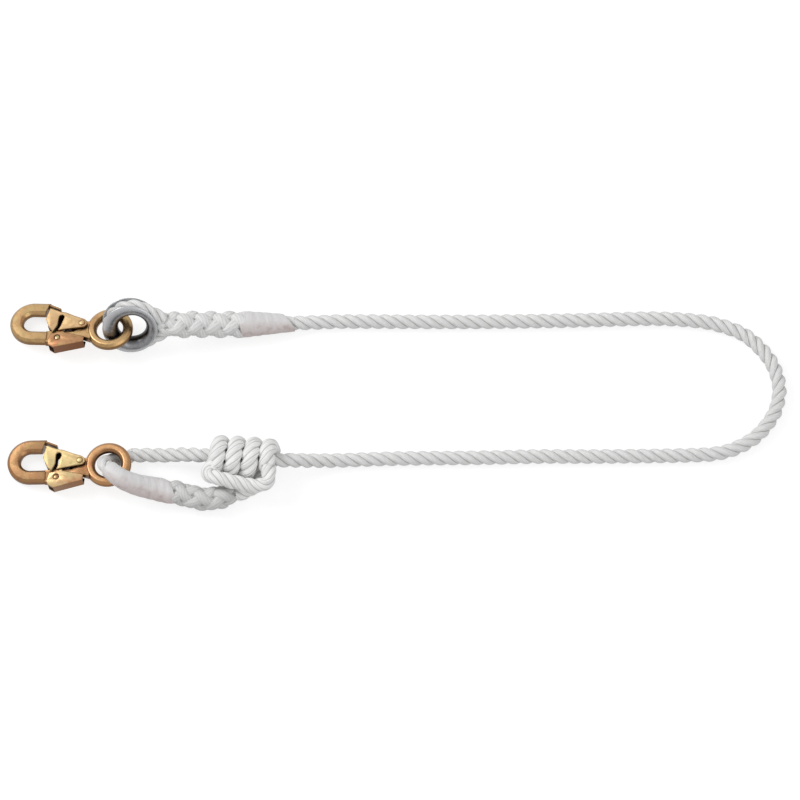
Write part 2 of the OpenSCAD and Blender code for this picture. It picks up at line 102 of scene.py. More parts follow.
# Points of the rope in the layout, in millimetres
MAIN_ROUTE = [(-115, 78, 9), (-85, 79.5, 8.2), (-52, 80.5, 8), (70, 80, 8), (160, 81, 8), (227, 82.5, 8),
              (285, 84, 8), (328, 82, 8), (358, 77, 8), (388, 65, 8), (409, 45.5, 8), (422, 25, 8),
              (428, 2.5, 8), (427, -16, 8), (421, -35, 8), (405, -57.5, 8), (385, -72, 8),
              (362, -80.5, 8), (328, -83.5, 8), (227, -85, 8), (160, -85, 8), (93, -86.5, 8),
              (3, -87.5, 8), (-64, -90, 8.5), (-92, -92.8, 14), (-116, -95.7, 21.5), (-137, -97, 25)]
STANDING_ROUTE = [(-137, -97, 25), (-175, -94.3, 25), (-213, -91.5, 25), (-236, -87.8, 20), (-259, -85.2, 12),
                  (-280, -83.4, 8.4), (-296, -83.7, 8)]
BIGHT_ROUTE = [(-296, -83.7, 8), (-307, -87, 8.4), (-318, -92, 11.5), (-325.5, -98, 21),
               (-326.5, -105.5, 32.5), (-321, -115, 40), (-311.5, -123.5, 40.5), (-300, -127.8, 35),
               (-285, -129, 26), (-270, -129.2, 19), (-257, -130.5, 15.3), (-245.7, -131.9, 14.5)]
# Point of the bight where the lower sleeve starts
SLEEVE_START = 5
SPLICE_ROUTE = [(-245.7, -131.9, 14.5), (-233, -136, 14.5), (-220, -139.2, 14.4), (-207, -139.4, 14.3),
                (-194, -136.6, 14), (-182, -132.4, 10)]
EYE_SLEEVE_ROUTE = [(-178, 73, 16.8), (-146, 75.7, 12.8), (-115, 78, 9)]
# From the centre of the rope's eye to its throat
THROAT_X = 36.0
EYE_SPLICE_ROUTE = [tuple(EYE_CENTRE + (THROAT_X, 0, 0)), (-232, 69.3, 25), (-205, 71.8, 19.4),
                    EYE_SLEEVE_ROUTE[0]]
# Steps of a curve from each of its points to the next, for the rope and for the splices
ROPE_STEPS = 24
SPLICE_STEPS = 16


def curve_through(points, steps):
    """Uniform Catmull-Rom curve: between b and c, with a before and d after, the point at t is
    (2b + (c-a)t + (2a-5b+4c-d)t^2 + (3b-a-3c+d)t^3) / 2."""
    p = np.asarray(points, float)
    q = np.vstack([p[:1], p, p[-1:]])
    t = (np.arange(steps) / steps)[None, :, None]
    a, b, c, d = (q[k:len(q) - 3 + k, None, :] for k in range(4))
    made = 0.5 * (2 * b + (c - a) * t + (2 * a - 5 * b + 4 * c - d) * t ** 2
                  + (3 * b - a - 3 * c + d) * t ** 3)
    return np.vstack([made.reshape(-1, 3), p[-1:]])


def run_of(p):
    """Length along the curve p at each of its points."""
    return np.concatenate([[0], np.cumsum(np.linalg.norm(np.diff(p, axis=0), axis=1))])


def share_along(p):
    """Share of the whole length along the curve p at each of its points."""
    s = run_of(p)
    return s / s[-1]


def evenly(p, spacing):
    """The curve p again, with points at even distances of about the given spacing."""
    s = run_of(p)
    at = np.linspace(0, s[-1], max(2, int(round(s[-1] / spacing)) + 1))
    return np.stack([np.interp(at, s, p[:, k]) for k in range(3)], 1)


def unit(v):
    """The vectors v at length one."""
    return v / np.linalg.norm(v, axis=-1, keepdims=True)


def full_turn(count):
    """So many angles at even steps round a full turn."""
    return np.arange(count) * 2 * math.pi / count


def frames_along(p):
    """Tangent, side and upper direction at each point of p. The first side is level. It is carried along
    without twist: each one is the one before, less its share along the new tangent."""
    t = unit(np.gradient(p, axis=0))
    side = np.cross(t[0], (0.0, 0.0, 1.0))
    sides = []
    for way in t:
        side = unit(side - (side @ way) * way)
        sides.append(side)
    sides = np.array(sides)
    return t, sides, np.cross(sides, t)


def sweep(p, side, up, across, over):
    """Profile carried along a path: the point (i, j) is p[i] + across[i, j] * side[i] + over[i, j] *
    up[i]."""
    return p[:, None, :] + across[..., None] * side[:, None, :] + over[..., None] * up[:, None, :]


def laid(points):
    """Layout millimetres to the part's frame in metres."""
    return (np.asarray(points, float) + ORIGIN_SHIFT) * MM


def hook_axes(hook):
    """The hook's own axes as columns: a roll about X, then a nose-down pitch about Y, then a turn about
    Z."""
    a, b, c = np.radians(HOOKS[hook][1]) * (1, -1, 1)
    about_x = np.array([[1, 0, 0], [0, math.cos(a), -math.sin(a)], [0, math.sin(a), math.cos(a)]])
    about_y = np.array([[math.cos(b), 0, math.sin(b)], [0, 1, 0], [-math.sin(b), 0, math.cos(b)]])
    about_z = np.array([[math.cos(c), -math.sin(c), 0], [math.sin(c), math.cos(c), 0], [0, 0, 1]])
    return about_z @ about_y @ about_x


def in_hook(points, hook):
    """Hook millimetres to layout millimetres: turned to the hook's axes, then set at the eye's centre."""
    return np.asarray(points, float) @ hook_axes(hook).T + HOOKS[hook][0]


# Points that lie closer than this are one, in metres
WELD = 2e-6
# Rings of a closed end, from its rim to its middle
CAP_ROWS = 4


class Shape:
    """Vertices, quads and per-corner patterns of one piece, gathered from one or more surfaces."""

    def __init__(self):
        self.points, self.faces, self.uv, self.marks, self.count = [], [], [], [], 0

    def surface(self, grid, uv=None, mark=None, round_u=False, flip=False):
        """Adds the grid (rows, columns, 3) as quads, closed round its columns, and round its rows if
        round_u. uv holds a pattern coordinate for each row and column, mark a value for each point."""
        rows, cols = grid.shape[:2]
        i = np.arange(rows if round_u else rows - 1)[:, None]
        j = np.arange(cols)[None, :]
        i2, j2 = (i + 1) % rows, (j + 1) % cols
        quad = np.stack([np.broadcast_to(x, (i.size, j.size)) for x in
                         (i * cols + j, i2 * cols + j, i2 * cols + j2, i * cols + j2)], -1).reshape(-1, 4)
        if uv is None:
            uv = (np.arange(rows + 1) / rows, np.arange(cols + 1) / cols)
        u, v = (np.asarray(x, float) for x in uv)
        u = np.append(u, 2 * u[-1] - u[-2]) if len(u) == rows else u
        v = np.append(v, 2 * v[-1] - v[-2]) if len(v) == cols else v
        corner = np.stack([np.stack(np.broadcast_arrays(u[a], v[b]), -1) for a, b in
                           ((i, j), (i + 1, j), (i + 1, j + 1), (i, j + 1))], 2).reshape(-1, 4, 2)
        if flip:
            quad, corner = quad[:, ::-1], corner[:, ::-1]
        self.faces.append(quad + self.count)
        self.uv.append(corner)
        self.points.append(grid.reshape(-1, 3))
        self.marks.append(np.zeros(rows * cols) if mark is None else np.asarray(mark, float).reshape(-1))
        self.count += rows * cols
        return self

    def cap(self, ring, flip):
        """Closes an end: the ring drawn in to its middle in even steps."""
        middle = ring.mean(0)
        share = np.linspace(1, 0, CAP_ROWS)[:, None, None]
        return self.surface(middle + (ring[None] - middle) * share, flip=flip)

    def tube(self, grid, uv=None, mark=None, flip=False):
        """Adds the grid as a tube with both ends closed."""
        self.surface(grid, uv, mark, flip=flip)
        return self.cap(grid[0], not flip).cap(grid[-1], flip)

    def finish(self, name, material, body, *nodes, slot, bent=None):
        """Makes the mesh object: points to metres in the part's frame, quads, the pattern as a UV map,
        the mark as an attribute, and points that meet made one. It rides on the body and stands for the
        nodes. A bent piece rides on no body; its place is baked into its points."""
        mesh = bpy.data.meshes.new(name)
        points = laid(np.vstack(self.points))
        faces = np.vstack(self.faces)
        mesh.vertices.add(len(points))
        mesh.vertices.foreach_set("co", points.astype(np.float32).ravel())
        mesh.loops.add(faces.size)
        mesh.loops.foreach_set("vertex_index", faces.astype(np.int32).ravel())
        mesh.polygons.add(len(faces))
        mesh.polygons.foreach_set("loop_start", (np.arange(len(faces)) * 4).astype(np.int32))
        layer = mesh.uv_layers.new(name="lay")
        mesh.update(calc_edges=True)
        layer.data.foreach_set("uv", np.vstack(self.uv).astype(np.float32).ravel())
        mark = mesh.attributes.new("groove", "FLOAT", "POINT")
        mark.data.foreach_set("value", np.concatenate(self.marks).astype(np.float32))
        mesh.polygons.foreach_set("use_smooth", np.ones(len(faces), bool))
        mesh.materials.append(material)
        mesh.validate()
        work = bmesh.new()
        work.from_mesh(mesh)
        bmesh.ops.remove_doubles(work, verts=work.verts, dist=WELD)
        work.to_mesh(mesh)
        work.free()
        piece = in_scene(name, mesh)
        if bent:
            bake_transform(piece)
        else:
            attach(piece, body)
        if nodes:
            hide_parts(*nodes)
        return piece


# Materials

# Browned film in patches of wear, painted shade along edges, and painted shade in recesses
BROWN_WEAR_AND_EDGE_SHADE = (0.12, 0.06, 0.024)
RECESS_AND_FOLD_SHADE = (0.035, 0.02, 0.012)
# Roughness of every noise, and the width of the painted shade along edges and the reach of a recess in metres
NOISE_ROUGHNESS = 0.55
EDGE_WIDTH = 0.002
RECESS_REACH = 0.008
# Scales of coarse and fine filaments along and across the rope, and how far the coarse ones bend the yarns
COARSE_FIBRES = (14, 46, 1)
FINE_FIBRES = (40, 170, 1)
YARN_BEND = 5.0


def node_group(name, inputs, outputs):
    """An empty shader group with its sockets, given by name and kind."""
    group = bpy.data.node_groups.new(name, "ShaderNodeTree")
    for way, sockets in (("INPUT", inputs), ("OUTPUT", outputs)):
        for label, kind in sockets.items():
            group.interface.new_socket(label, in_out=way, socket_type=f"NodeSocket{kind}")
    return group, group.nodes.new("NodeGroupInput"), group.nodes.new("NodeGroupOutput")


def feed(tree, socket, value):
    """Gives a socket its value: a link from another socket, a number, a vector or a colour of three
    shares."""
    if isinstance(value, bpy.types.NodeSocket):
        tree.links.new(value, socket)
    elif socket.type == "RGBA":
        socket.default_value = (*value, 1)
    else:
        socket.default_value = value


def math_node(tree, operation, a, b=None, clamp=False):
    """A Math node on one or two sockets or numbers; returns its output."""
    node = tree.nodes.new("ShaderNodeMath")
    node.operation, node.use_clamp = operation, clamp
    feed(tree, node.inputs[0], a)
    if b is not None:
        feed(tree, node.inputs[1], b)
    return node.outputs[0]


def dot_node(tree, a, b):
    """The dot product of two vectors, each a socket or a value."""
    node = tree.nodes.new("ShaderNodeVectorMath")
    node.operation = "DOT_PRODUCT"
    feed(tree, node.inputs[0], a)
    feed(tree, node.inputs[1], b)
    return node.outputs["Value"]


def mixed(tree, share, a, b):
    """A colour mix of two sockets or colours by a share."""
    node = tree.nodes.new("ShaderNodeMix")
    node.data_type = "RGBA"
    for k, value in ((0, share), (6, a), (7, b)):
        feed(tree, node.inputs[k], value)
    return node.outputs[2]


def ranged(tree, value, low, high, to_low=0.0, to_high=1.0):
    """Map Range of a socket, clamped."""
    node = tree.nodes.new("ShaderNodeMapRange")
    tree.links.new(value, node.inputs[0])
    for k, x in enumerate((low, high, to_low, to_high)):
        node.inputs[k + 1].default_value = x
    return node.outputs[0]


def noise(tree, vector, scale, detail):
    """Noise at the vector, as a share."""
    node = tree.nodes.new("ShaderNodeTexNoise")
    tree.links.new(vector, node.inputs["Vector"])
    node.inputs["Scale"].default_value = scale
    node.inputs["Detail"].default_value = detail
    node.inputs["Roughness"].default_value = NOISE_ROUGHNESS
    return node.outputs["Fac"]


def coordinates(tree, kind):
    """Texture coordinates of one kind."""
    return tree.nodes.new("ShaderNodeTexCoord").outputs[kind]


def attribute(tree, name):
    """The mesh's own attribute of that name, as a share."""
    node = tree.nodes.new("ShaderNodeAttribute")
    node.attribute_name = name
    return node.outputs["Fac"]


def seen_rays(tree):
    """A share: 1 for what is seen straight, in a reflection or through glass, 0 for what only gives
    light."""
    path = tree.nodes.new("ShaderNodeLightPath")
    looks = math_node(tree, "ADD", path.outputs["Is Camera Ray"], path.outputs["Is Glossy Ray"])
    return math_node(tree, "ADD", looks, path.outputs["Is Transmission Ray"], clamp=True)


def stretched(tree, vector, scale):
    """The vector times a scale on each axis."""
    node = tree.nodes.new("ShaderNodeMapping")
    node.inputs["Scale"].default_value = scale
    tree.links.new(vector, node.inputs["Vector"])
    return node.outputs[0]


def filament_group():
    """Fine filaments and yarns along a strand: noise drawn out along the rope and finer across it, and
    waves that cross the strand at a small angle. Gives a share and a height."""
    group, given, made = node_group("filaments", {"Vector": "Vector"}, {"Share": "Float", "Height": "Float"})
    coarse, fine = (noise(group, stretched(group, given.outputs[0], scale), 1.0, 2.0)
                    for scale in (COARSE_FIBRES, FINE_FIBRES))
    apart = group.nodes.new("ShaderNodeSeparateXYZ")
    group.links.new(given.outputs[0], apart.inputs[0])
    sloped = math_node(group, "MULTIPLY", apart.outputs[0], YARN_SLOPE)
    across = math_node(group, "ADD", sloped, apart.outputs[1])
    bent = math_node(group, "ADD", math_node(group, "MULTIPLY", across, 2 * math.pi / YARN_WIDTH),
                     math_node(group, "MULTIPLY", coarse, YARN_BEND))
    yarn = math_node(group, "MULTIPLY", math_node(group, "SINE", bent), 0.13)
    both = math_node(group, "ADD", math_node(group, "MULTIPLY", coarse, 0.6),
                     math_node(group, "MULTIPLY", fine, 0.4))
    height = math_node(group, "ADD", both, yarn)
    group.links.new(ranged(group, height, 0.32, 0.68), made.inputs[0])
    group.links.new(height, made.inputs[1])
    return group


def edge_group():
    """Edges of a piece, where a rounded normal leaves the true one. Gives a share: 0 on faces, 1 on
    edges."""
    group, given, made = node_group("edges", {"Radius": "Float"}, {"Share": "Float"})
    bevel = group.nodes.new("ShaderNodeBevel")
    bevel.samples = 6
    group.links.new(given.outputs[0], bevel.inputs["Radius"])
    geometry = group.nodes.new("ShaderNodeNewGeometry")
    alike = dot_node(group, bevel.outputs[0], geometry.outputs["Normal"])
    group.links.new(ranged(group, alike, 0.997, 0.9), made.inputs[0])
    return group


def plating_group():
    """Tints of a thin plated film: broad patches of a warm and a green tint, browned where it is worn,
    and a fine mottle. Gives a colour and a share."""
    group, given, made = node_group(
        "plating", {"Vector": "Vector", "Tint": "Color", "Warm tint": "Color", "Green tint": "Color"},
        {"Color": "Color", "Mottle": "Float"})
    broad = noise(group, given.outputs[0], 46.0, 2.0)
    other = noise(group, stretched(group, given.outputs[0], (1.3, -0.9, 1.1)), 83.0, 2.0)
    warm = mixed(group, ranged(group, broad, 0.5, 0.68), given.outputs[1], given.outputs[2])
    green = mixed(group, ranged(group, other, 0.52, 0.7), warm, given.outputs[3])
    wear_and_rim_highlight = ranged(group, noise(group, given.outputs[0], 210.0, 4.0), 0.5, 0.72, 0.0, 0.3)
    group.links.new(mixed(group, wear_and_rim_highlight, green, BROWN_WEAR_AND_EDGE_SHADE), made.inputs[0])
    group.links.new(noise(group, given.outputs[0], 900.0, 3.0), made.inputs[1])
    return group


def flank_group():
    """Sides of a flat piece: how far the surface turns away from the piece's own axis. Gives a share: 0
    on the faces across the axis, 1 on the sides."""
    group, given, made = node_group("flanks", {"Axis": "Vector"}, {"Share": "Float"})
    facing = math_node(group, "ABSOLUTE", dot_node(group, coordinates(group, "Normal"), given.outputs[0]))
    group.links.new(ranged(group, facing, 0.95, 0.4), made.inputs[0])
    return group


def recess_group():
    """Recesses, where surfaces near by shut out the sky. Gives a share: 0 in the open, 1 deep inside."""
    group, given, made = node_group("recesses", {"Reach": "Float"}, {"Share": "Float"})
    open_sky = group.nodes.new("ShaderNodeAmbientOcclusion")
    open_sky.samples = 8
    group.links.new(given.outputs[0], open_sky.inputs["Distance"])
    group.links.new(ranged(group, open_sky.outputs["AO"], 0.62, 0.15), made.inputs[0])
    return group


FILAMENTS, EDGES, PLATING = filament_group(), edge_group(), plating_group()
FLANKS, RECESSES = flank_group(), recess_group()


def new_material(name, **values):
    """A material with its Principled BSDF; the values go on that shader's own sockets."""
    material = bpy.data.materials.new(name)
    material.use_nodes = True
    shader = material.node_tree.nodes["Principled BSDF"]
    for label, value in values.items():
        shader.inputs[label.replace("_", " ")].default_value = value
    return material, material.node_tree, shader


def placed(tree, group):
    """A node that stands for the group."""
    node = tree.nodes.new("ShaderNodeGroup")
    node.node_tree = group
    return node


def bump(tree, shader, height, strength, distance):
    """Tilts the shader's normal by the slopes of a height."""
    node = tree.nodes.new("ShaderNodeBump")
    node.inputs["Strength"].default_value = strength
    node.inputs["Distance"].default_value = distance
    tree.links.new(height, node.inputs["Height"])
    tree.links.new(node.outputs[0], shader.inputs["Normal"])


def rope_material(name, dull, bright, grey):
    """White twisted nylon: dull and bright filaments along each strand, painted shade in the grooves
    between strands, and painted shade where a piece is marked."""
    material, tree, shader = new_material(name, Roughness=0.55, Sheen_Weight=0.25, Sheen_Roughness=0.4)
    fibres = placed(tree, FILAMENTS)
    tree.links.new(coordinates(tree, "UV"), fibres.inputs[0])
    pale = mixed(tree, fibres.outputs["Share"], dull, bright)
    deep = mixed(tree, ranged(tree, attribute(tree, "groove"), 0.4, 1.0), pale, grey)
    tree.links.new(deep, shader.inputs["Base Color"])
    bump(tree, shader, fibres.outputs["Height"], 0.5, 0.0008)
    return material


def sleeve_material():
    """Thin white sleeve: pale grey with faint pink patches, painted shade and blots on its lower front,
    and shallow wrinkles round it."""
    material, tree, shader = new_material("white_sleeve", Roughness=0.5, Coat_Weight=0.08,
                                          Coat_Roughness=0.35)
    place = coordinates(tree, "Object")
    patches = noise(tree, place, 38.0, 2.0)
    tint = mixed(tree, ranged(tree, patches, 0.4, 0.65), (0.76, 0.755, 0.755), (0.71, 0.69, 0.69))
    # Painted shade on the lower front
    below = dot_node(tree, coordinates(tree, "Normal"), (0, -0.9, -0.4))
    shaded_below = mixed(tree, ranged(tree, below, -0.25, 0.8), tint, (0.66, 0.58, 0.565))
    blots = math_node(tree, "MULTIPLY", ranged(tree, noise(tree, place, 120.0, 2.0), 0.48, 0.72, 0.0, 0.75),
                      ranged(tree, below, -0.4, 0.4))
    tree.links.new(mixed(tree, blots, shaded_below, (0.47, 0.38, 0.36)), shader.inputs["Base Color"])
    wrinkles = noise(tree, stretched(tree, coordinates(tree, "UV"), (34, 5, 1)), 1.0, 3.0)
    bump(tree, shader, wrinkles, 0.5, 0.002)
    return material


def galvanised_material():
    """Galvanised steel: grey metal with faint spangle, a painted highlight at the rims and painted shade
    towards the hole."""
    material, tree, shader = new_material("galvanised_steel")
    place = coordinates(tree, "Object")
    spangle = tree.nodes.new("ShaderNodeTexVoronoi")
    spangle.inputs["Scale"].default_value = 260.0
    tree.links.new(place, spangle.inputs["Vector"])
    smear = noise(tree, place, 120.0, 3.0)
    grain = math_node(tree, "ADD", math_node(tree, "MULTIPLY", spangle.outputs["Distance"], 0.5), smear)
    grey = mixed(tree, ranged(tree, grain, 0.4, 1.1), (0.17, 0.172, 0.18), (0.28, 0.283, 0.29))
    depth = attribute(tree, "groove")
    # Painted highlight near the rims and painted shade towards the hole, by the depth
    wear_and_rim_highlight = mixed(tree, ranged(tree, depth, 0.42, 0.08), grey, (0.46, 0.465, 0.48))
    shaded = mixed(tree, ranged(tree, depth, 0.6, 0.95), wear_and_rim_highlight, (0.03, 0.03, 0.032))
    tree.links.new(shaded, shader.inputs["Base Color"])
    tree.links.new(ranged(tree, depth, 0.0, 0.3, 0.45, 1.0), shader.inputs["Metallic"])
    tree.links.new(ranged(tree, smear, 0.3, 0.7, 0.2, 0.36), shader.inputs["Roughness"])
    return material


def plated_material(name, tint, warm, green, side_shade, hook, rough):
    """Yellow plated steel: patches of warm and green film, fine mottle, painted shade on the sides, along
    the edges, in recesses and inside a fold."""
    material, tree, shader = new_material(name, Metallic=1.0)
    film, sides, edge, recess = (placed(tree, group) for group in (PLATING, FLANKS, EDGES, RECESSES))
    for socket, value in zip(film.inputs, (coordinates(tree, "Object"), tint, warm, green)):
        feed(tree, socket, value)
    feed(tree, sides.inputs[0], tuple(hook_axes(hook)[:, 2]))
    feed(tree, edge.inputs[0], EDGE_WIDTH)
    feed(tree, recess.inputs[0], RECESS_REACH)
    # Painted shade on the sides, where the surface turns away from the hook's faces
    side_shaded = mixed(tree, math_node(tree, "MULTIPLY", sides.outputs[0], 0.9), film.outputs["Color"], side_shade)
    # Painted shade along the edges
    edge_shaded = mixed(tree, math_node(tree, "MULTIPLY", edge.outputs[0], 0.85), side_shaded, BROWN_WEAR_AND_EDGE_SHADE)
    # Painted shade in recesses and on the faces inside a fold
    dark = math_node(tree, "MAXIMUM", recess.outputs[0], attribute(tree, "inside"))
    tree.links.new(mixed(tree, dark, edge_shaded, RECESS_AND_FOLD_SHADE), shader.inputs["Base Color"])
    mottled = ranged(tree, film.outputs["Mottle"], 0.3, 0.7, rough - 0.06, rough + 0.08)
    tree.links.new(mottled, shader.inputs["Roughness"])
    bump(tree, shader, film.outputs["Mottle"], 0.12, 0.0003)
    return material


def plates(part, rough, **tints):
    """The plated material of a part on each hook, from its own tint, warm tint, green tint and the colour
    of the painted shade on the sides."""
    return {hook: plated_material(f"plated_{part}_{hook}", *tints[hook], hook, rough) for hook in tints}


def wire_material():
    """Bare spring wire: dark grey steel with faint drawn streaks."""
    material, tree, shader = new_material("spring_wire", Metallic=1.0, Roughness=0.35)
    streak = noise(tree, coordinates(tree, "Object"), 700.0, 2.0)
    tree.links.new(mixed(tree, streak, (0.08, 0.08, 0.084), (0.17, 0.17, 0.176)), shader.inputs["Base Color"])
    return material


NYLON = rope_material("white_nylon_rope", (0.66, 0.665, 0.66), (0.86, 0.86, 0.85), (0.38, 0.38, 0.37))
# The knot's rope: the same nylon painted lighter, against the shade between its turns
KNOT_LIT_NYLON = rope_material("knot_lit_nylon_rope", (0.80, 0.80, 0.795), (0.96, 0.96, 0.95), (0.44, 0.44, 0.43))
SLEEVE, GALVANISED, WIRE = sleeve_material(), galvanised_material(), wire_material()
# Each hook's tints: its own, warm, green, and the colour of the painted shade on the sides
FORGED = plates(
    "forging", 0.32,
    upper=((0.53, 0.345, 0.165), (0.52, 0.295, 0.145), (0.49, 0.36, 0.17), (0.15, 0.075, 0.028)),
    lower=((0.387, 0.215, 0.105), (0.37, 0.176, 0.0843), (0.378, 0.237, 0.112), (0.129, 0.0533, 0.0206)))
# The upper eye is as its forging. The lower eye is the lighter copy: its forging is painted darker, against
# the lamp's highlight on its flats
RING_PLATE = {**FORGED, **plates(
    "ring", 0.32,
    lower=((0.504, 0.28, 0.137), (0.482, 0.23, 0.11), (0.493, 0.308, 0.146), (0.168, 0.0694, 0.0269)))}
GATE_PLATE = plates(
    "gate", 0.36,
    upper=((0.61, 0.41, 0.215), (0.58, 0.345, 0.18), (0.57, 0.42, 0.225), (0.22, 0.11, 0.045)),
    lower=((0.62, 0.47, 0.235), (0.58, 0.405, 0.195), (0.58, 0.49, 0.245), (0.24, 0.14, 0.05)))
LOCK_PLATE = plates(
    "lock", 0.36,
    upper=((0.44, 0.245, 0.125), (0.43, 0.205, 0.105), (0.43, 0.27, 0.13), (0.14, 0.054, 0.025)),
    lower=((0.57, 0.405, 0.215), (0.53, 0.28, 0.145), (0.54, 0.425, 0.215), (0.20, 0.088, 0.037)))
RIVET_PLATE = plates(
    "rivet", 0.32,
    upper=((0.50, 0.40, 0.22), (0.48, 0.345, 0.18), (0.48, 0.42, 0.23), (0.17, 0.11, 0.05)),
    lower=((0.42, 0.245, 0.135), (0.38, 0.19, 0.10), (0.41, 0.28, 0.145), (0.14, 0.06, 0.03)))

# Rope pieces


def strand_profile(points, strand_r, parted):
    """Outline of three strands lying together, as radius and groove by angle. About a strand's own middle
    the radius is a cos(x) + sqrt(r^2 - a^2 sin(x)^2), where r is the strand's radius and a how far its
    middle lies out. A strand parted into yarns has a furrow of that depth along its middle."""
    out = ROPE_R - strand_r
    x = (np.arange(points) / points - 0.5) * 2 * math.pi / 3
    radius = out * np.cos(x) + np.sqrt(strand_r ** 2 - (out * np.sin(x)) ** 2)
    furrow = np.exp(-(x / FURROW) ** 2)
    radius = radius - parted * furrow
    # The mark, for painted shade in the grooves between strands and in the furrow
    groove = np.maximum((np.abs(x) / (math.pi / 3)) ** 4, FURROW_SHADE * furrow * (parted > 0))
    angle = np.concatenate([x + 2 * math.pi * k / 3 for k in range(3)])
    return angle, np.tile(radius, 3), np.tile(groove, 3)


def rope_surface(p, side, up, start, grow, strand_r, parted=0.0):
    """Three strands twisted along p: the outline turns back by 2 pi s / LAY at the length s. Returns the
    grid, its pattern and its mark."""
    points = FINE_POINTS if parted else STRAND_POINTS
    angle, radius, groove = strand_profile(points, strand_r, parted)
    s = run_of(p) + start
    turned = angle[None, :] - 2 * math.pi * s[:, None] / LAY
    r = np.broadcast_to(np.reshape(grow, (-1, 1)) * radius, turned.shape)
    grid = sweep(p, side, up, r * np.cos(turned), r * np.sin(turned))
    around = full_turn(3 * points) * ROPE_R
    return grid, (s * PATTERN, around * PATTERN), np.tile(groove, (len(p), 1))


# The free rope lies a little fuller than its nominal size
ROPE_GROW = 1.03
# Point of the bight round which the rope gets painted shade: wholly as far as the first distance, and not
# beyond the second
SHADED_AT = 2
SHADED_REACH = (8.4, 22.4)


def rope_piece(name, p, side, up, start, node, grow=1.0, strand_r=STRAND_R, painted_shade=0.0, material=NYLON,
               parted=0.0):
    """One stretch of rope as a closed mesh, from its ring centres p. It gets painted shade by the given
    share at each ring."""
    grid, uv, mark = rope_surface(p, side, up, start, grow, strand_r, parted)
    shape = Shape().tube(grid, uv, np.maximum(mark, np.reshape(painted_shade, (-1, 1))))
    return shape.finish(name, material, "rope", node, slot="rope")


def nearest(p, point):
    """Index of the point of the curve p that lies nearest to the given one."""
    return int(np.argmin(np.linalg.norm(p - np.asarray(point, float), axis=1)))


def long_rope():
    """The rope from the upper sleeve round the bend, through the knot and through the lower hook, in
    three pieces that share their lay. Returns the first piece with its path, and the surface of the
    rope's tail in the sleeve."""
    routes = [curve_through(r, ROPE_STEPS)
              for r in (EYE_SLEEVE_ROUTE[1:], MAIN_ROUTE, STANDING_ROUTE, BIGHT_ROUTE)]
    whole = evenly(np.vstack([routes[0]] + [r[1:] for r in routes[1:]]), RING)
    _, side, up = frames_along(whole)
    s = run_of(whole)
    cuts = [nearest(whole, r[0]) for r in routes] + [len(whole) - 1]
    sleeved, *bare = (slice(a, b + 1) for a, b in zip(cuts, cuts[1:]))
    tail = rope_surface(whole[sleeved], side[sleeved], up[sleeved], 0.0, ROPE_GROW, STRAND_R)
    # Where it bends under the lower hook's eye, the rope gets painted shade
    bend = np.linalg.norm(whole - BIGHT_ROUTE[SHADED_AT], axis=1)
    painted_shade = np.interp(bend, SHADED_REACH, (1, 0)) * (s >= s[bare[-1].start])
    named = (("rope_run", "main_rope"), ("rope_through_knot", "standing_rope"), ("rope_bight", "eye_bight"))
    made = [rope_piece(name, whole[k], side[k], up[k], s[k.start], node, ROPE_GROW, painted_shade=painted_shade[k])
            for (name, node), k in zip(named, bare)]
    return made[0], whole[bare[0]], tail


run_piece, run_path, SLEEVE_TAIL = long_rope()

# Sliding knot

# Axis of the knot: a point on it, its slope across the ground and its height, in millimetres
KNOT_MIDDLE = (-175.0, -94.3)
KNOT_LEAN = -0.073
KNOT_Z = 25.0
# How far the turns and the band lie from the axis
WRAP_R = 16.5
BAND_R = 33.5
# Where the turns start along the axis, how far apart they lie, how many there are and their steps
FIRST_TURN_X = -153.5
KNOT_PITCH = 18.6
TURNS = 3 - 1 / 3
TURN_STEPS = 24
LOOP_X = FIRST_TURN_X - KNOT_PITCH * TURNS
# The hitch draws away from the turns at the back, by a millimetre in so many degrees
HITCH_X = -145.0
HITCH_DRAW = 21.0
HITCH_ANGLES = np.arange(45, -121, -15.0)
# Pulled tight, the turns press together and into the rope inside them, and their strands lie flatter
TURN_GROW = 1.22
BAND_GROW = 1.06
PRESS = 1.2
KNOT_STRAND_R = 5.2
# Depth of the furrow that parts each strand into yarns, where the knot draws the rope round
PARTED = 0.55
# Length along the twist at which the knot's rope starts
KNOT_TWIST = 7.0
# Lead from the splice to the first turn
LEAD_ROUTE = [SPLICE_ROUTE[-1], (-173, -129.7, 8.6), (-164, -125, 8.2), (-154, -114.5, 8.2)]
# Band from the turns to the hitch: place along the axis, angle about it and distance from it
BAND_ROUTE = [(LOOP_X - 4, 67, WRAP_R + 2.5), (LOOP_X - 7.5, 71, WRAP_R + 8.5), (LOOP_X - 5, 71, WRAP_R + 14),
              (LOOP_X + 2.5, 69, BAND_R), (LOOP_X + 14, 73, BAND_R + 1), (LOOP_X + 27, 79, BAND_R + 1),
              (LOOP_X + 41, 84, BAND_R + 1), (HITCH_X - 4, 82, BAND_R - 1), (HITCH_X + 2, 70, BAND_R - 7)]
# Steps of the curves from point to point: where stretches join, in the turns and in the hitch
LINK_STEPS, HELIX_STEPS, HITCH_STEPS = 8, 3, 6


def round_axis(x, angle, radius):
    """A point beside the knot's axis, which leans across the ground: 0 degrees is up, 90 towards -Y, 180
    down."""
    a = np.radians(angle)
    y = KNOT_MIDDLE[1] + KNOT_LEAN * (x - KNOT_MIDDLE[0]) - radius * np.sin(a)
    return np.stack(np.broadcast_arrays(x, y, KNOT_Z + radius * np.cos(a)), -1)


